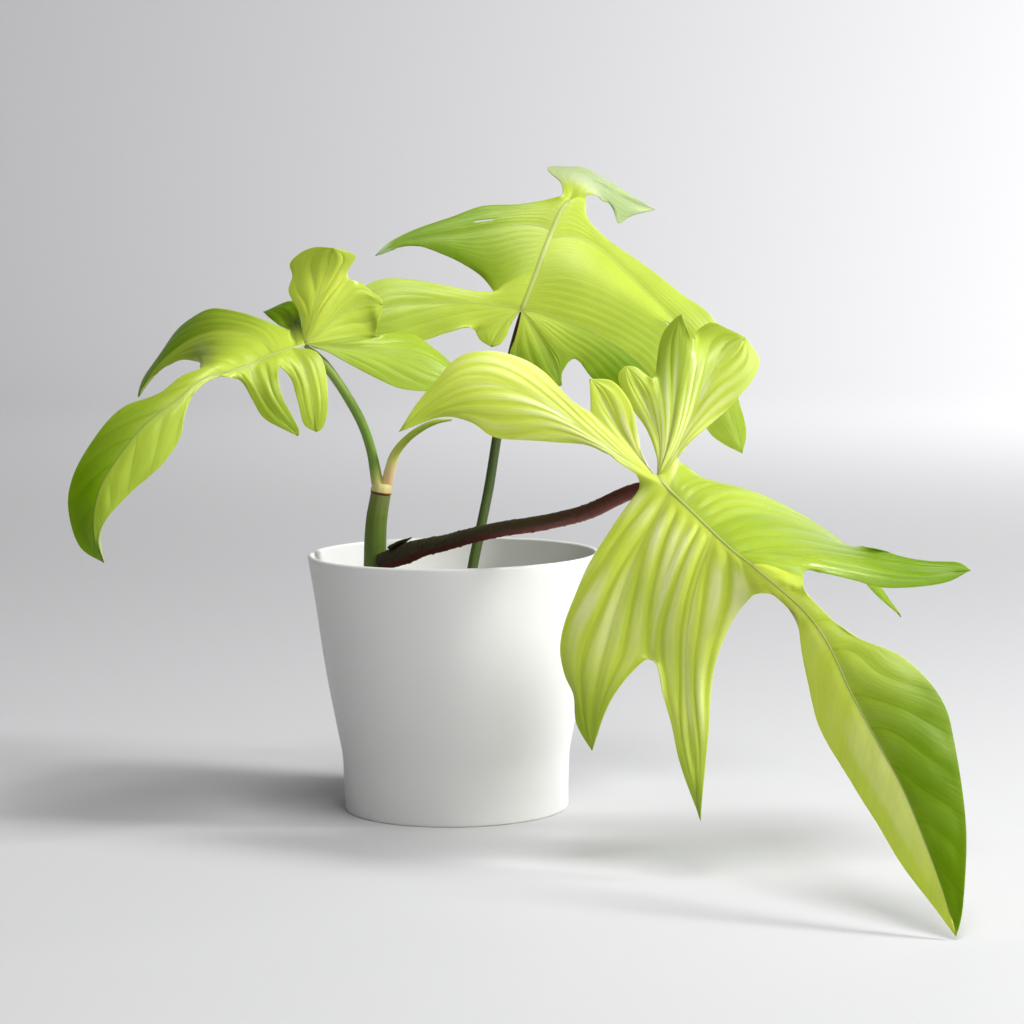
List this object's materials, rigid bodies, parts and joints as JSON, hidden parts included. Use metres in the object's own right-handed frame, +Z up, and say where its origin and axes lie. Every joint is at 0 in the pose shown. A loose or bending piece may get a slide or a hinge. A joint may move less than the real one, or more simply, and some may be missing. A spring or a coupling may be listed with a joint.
{
  "type": "potted florida ghost philodendron",
  "caption": "Potted aroid house plant with deeply lobed pale lime leaves on long arching stalks, rooted in soil in a plain white flared pot.",
  "frame": {"origin": "centre of the pot's flat base, on the surface that it stands on", "axes": "+Z up, -Y towards the picture's viewer, +X to the viewer's right"},
  "size_m": [0.4014, 0.4387, 0.3088],
  "materials": {
    "pot": "matte white",
    "soil": "crumbly potting mix",
    "stem": "smooth green stem",
    "stem_node": "cream collar",
    "sheath": "smooth young sheath",
    "dried_bract": "dry brown scale",
    "green_stalk": "smooth green stalk",
    "dark_stalk": "dark green stalk",
    "red_stalk": "warty red-brown stalk",
    "blade": "satin leaf with raised veins"
  },
  "bodies": {
    "root": {"pot": "pot", "soil": "soil", "stem": "stem", "stem_node": "stem_node", "sheath": "sheath", "dried_bract": "dried_bract", "left_stalk": "green_stalk", "left_blade": "blade", "back_stalk": "dark_stalk", "back_blade": "blade", "front_stalk": "red_stalk", "front_blade": "blade"}
  },
  "joints": []
}
